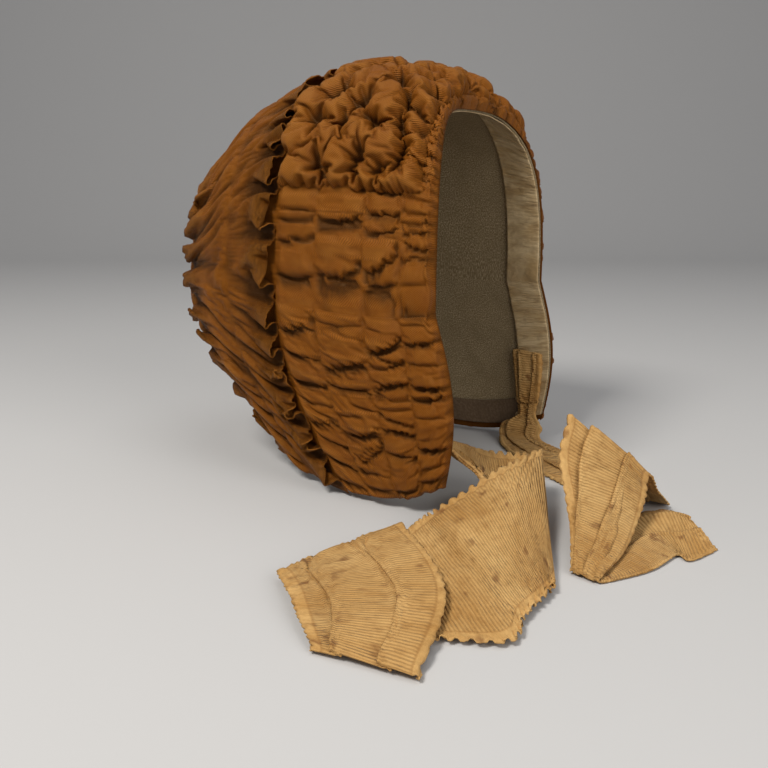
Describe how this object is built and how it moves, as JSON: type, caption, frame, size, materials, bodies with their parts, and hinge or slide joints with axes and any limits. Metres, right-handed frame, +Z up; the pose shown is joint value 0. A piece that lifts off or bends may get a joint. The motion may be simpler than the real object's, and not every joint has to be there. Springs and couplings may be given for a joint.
{
  "type": "quilted hood",
  "caption": "Shirred and wadded silk hood in its worn form, with a ruched crown, a rippled ruffle band and wide pinked ribbon ties.",
  "frame": {"origin": "head seat: the point inside the crown, on the lining, that rests on the top of the head", "axes": "+Z up, -Y the way the wearer faces, -X the wearer's right hand"},
  "size_m": [0.3884, 0.4227, 0.2944],
  "materials": {
    "silk_front": "rust-brown silk twill, shirred over wadding",
    "silk_back": "rust-brown silk twill, gathered",
    "silk_ruffle": "rust-brown silk twill, double ruffle",
    "silk_ruching": "rust-brown silk twill, puffed",
    "wool_lining": "grey-olive speckled wool",
    "satin_facing": "aged cream satin",
    "silk_neck": "taupe-brown silk",
    "ribbon_right": "cream grosgrain ribbon, pinked edges, stained",
    "ribbon_left": "cream grosgrain ribbon, pinked edges, stained"
  },
  "bodies": {
    "root": {"front_section": "silk_front", "back_section": "silk_back", "ruffle_band": "silk_ruffle", "top_ruching": "silk_ruching", "lining": "wool_lining", "front_facing": "satin_facing", "neck_facing": "silk_neck", "right_tie": "ribbon_right", "left_tie": "ribbon_left"}
  },
  "joints": []
}
